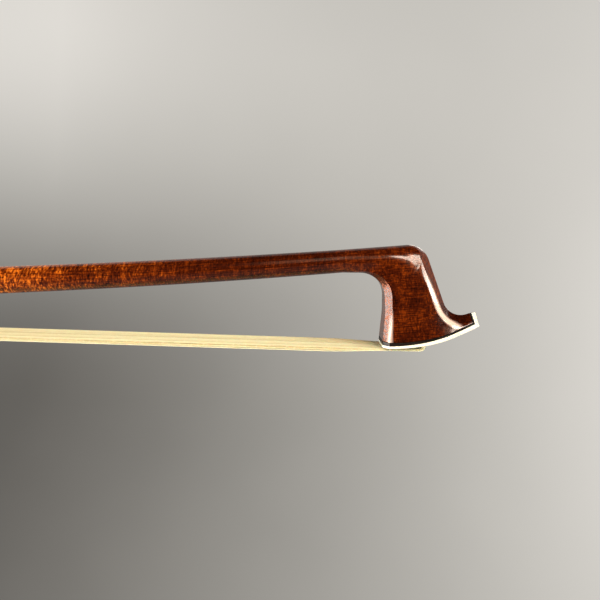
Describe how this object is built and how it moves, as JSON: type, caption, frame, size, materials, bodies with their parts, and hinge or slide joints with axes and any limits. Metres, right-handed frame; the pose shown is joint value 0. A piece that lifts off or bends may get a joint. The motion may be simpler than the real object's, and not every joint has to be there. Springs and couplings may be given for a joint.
{
  "type": "viola bow",
  "caption": "Long cambered wooden bow with a swan-bill head, bone tip plate, flat hair ribbon, ebony frog with silver fittings and a screw button that tightens the hair.",
  "frame": {"origin": "centre of the button's flat end, on the axis of the handle and its screw", "axes": "+X along the handle towards the head, +Z from the hair towards the stick, +Y across the bow"},
  "size_m": [0.7375, 0.0134, 0.0701],
  "materials": {
    "pernambuco": "dark red-brown varnished bow wood with cross figure",
    "bone": "polished bone",
    "ebony": "polished ebony",
    "silver": "polished silver",
    "brass": "machined",
    "steel": "turned",
    "pearl": "mother-of-pearl, polished",
    "maple": "plain cut",
    "horsehair": "natural white horsehair",
    "leather": "smooth dark leather"
  },
  "bodies": {
    "stick": {"stick": "pernambuco", "tip_plate": "bone", "tip_plate_liner": "ebony", "head_knot": "horsehair", "head_plug": "maple", "thumb_leather": "leather", "lapping": "silver", "hair": "horsehair"},
    "frog": {"frog": "ebony", "slide_base": "ebony", "slide_pearl": "pearl", "ferrule": "silver", "ferrule_wedge": "maple", "heel_plate": "silver", "heel_pin_1": "silver", "heel_pin_2": "silver", "heel_pin_3": "silver", "heel_pin_4": "silver", "underslide": "silver", "underslide_screw_1": "steel", "underslide_screw_2": "steel", "eye_ring_left": "silver", "eye_ring_right": "silver", "eye_pearl_left": "pearl", "eye_pearl_right": "pearl", "eyelet": "brass", "frog_plug": "maple", "frog_knot": "horsehair"},
    "button": {"button_cap": "silver", "button_collar": "silver", "button_core": "ebony", "screw": "steel"}
  },
  "joints": [
    {"name": "screw_turn", "type": "hinge", "parent": "stick", "child": "button", "pos_m": [0, 0, 0], "axis": [1, 0, 0], "range_deg": [-1440, 4320]},
    {"name": "frog_slide", "type": "slide", "parent": "stick", "child": "frog", "axis": [-1, 0, 0], "range_m": [-0.002, 0.006], "deforming": ["hair"]}
  ],
  "couplings": [
    {"joint": "screw_turn", "follows": "frog_slide", "rad_per_m": 12566}
  ]
}
